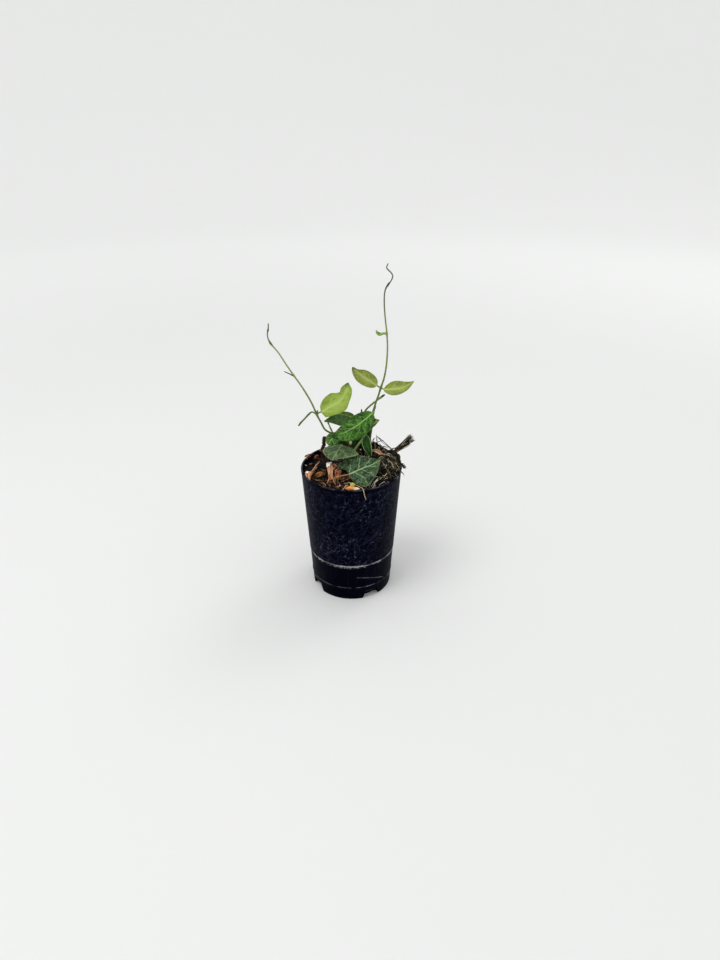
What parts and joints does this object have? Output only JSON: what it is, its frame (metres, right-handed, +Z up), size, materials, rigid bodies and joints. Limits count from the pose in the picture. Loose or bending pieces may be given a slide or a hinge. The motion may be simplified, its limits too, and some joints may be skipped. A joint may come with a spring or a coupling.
{
  "type": "potted climbing plant",
  "caption": "Young leafy vine with slender climbing stems, standing in bark and moss mix in a tall round black nursery tube.",
  "frame": {"origin": "on the pot's axis, on the flat underside that the pot stands on", "axes": "+Z up along the pot's axis, -Y towards the front of the plant, +X to its right"},
  "size_m": [0.104, 0.0767, 0.2473],
  "materials": {
    "pot": "satin moulded black plastic, lightly scuffed",
    "mix": "dark damp bark and fibre crumbs",
    "fibre": "matted dark moss and fine roots",
    "bark": "rough split bark",
    "pale_bark": "fresh split pale bark",
    "nodule": "soft matt skin",
    "twig": "dry dark bark",
    "root": "dry pale skin",
    "stem": "waxy green skin",
    "light_leaf": "waxy light green leaf, paler veins",
    "olive_leaf": "waxy olive leaf, paler midrib",
    "green_leaf": "waxy green leaf, pale veins",
    "dark_leaf": "leathery dark green leaf, pale veins",
    "grey_leaf": "leathery grey green leaf, pale veins"
  },
  "bodies": {
    "root": {"pot": "pot", "potting_mix": "mix", "fibre_mound": "fibre", "bark_long_stick": "bark", "bark_split_end": "bark", "bark_brown_lump": "bark", "bark_white_bulb": "bark", "bark_bulb_leg": "bark", "bark_red_round": "bark", "bark_orange_bit": "bark", "bark_bit_left": "bark", "bark_bit_middle": "bark", "bark_bit_right": "bark", "bark_pale_stick": "pale_bark", "bark_rim_chip": "pale_bark", "yellow_nodule": "nodule", "bark_flat_left": "bark", "bark_flat_back": "bark", "bark_back_chunk": "bark", "bark_tan_chip": "pale_bark", "bark_back_stick": "bark", "dry_twig": "twig", "hanging_root": "root", "right_vine": "stem", "left_vine": "stem", "crossing_stem": "stem", "thin_stem": "stem", "leaf_light": "light_leaf", "leaf_edge_on": "green_leaf", "leaf_olive_left": "olive_leaf", "leaf_olive_right": "olive_leaf", "leaf_rolled": "light_leaf", "leaf_main": "green_leaf", "leaf_round": "green_leaf", "leaf_dark": "dark_leaf", "leaf_behind": "olive_leaf", "leaf_small_right": "olive_leaf", "leaf_under": "green_leaf", "leaf_hanging": "dark_leaf", "leaf_grey": "grey_leaf", "leaf_front": "dark_leaf"}
  },
  "joints": []
}
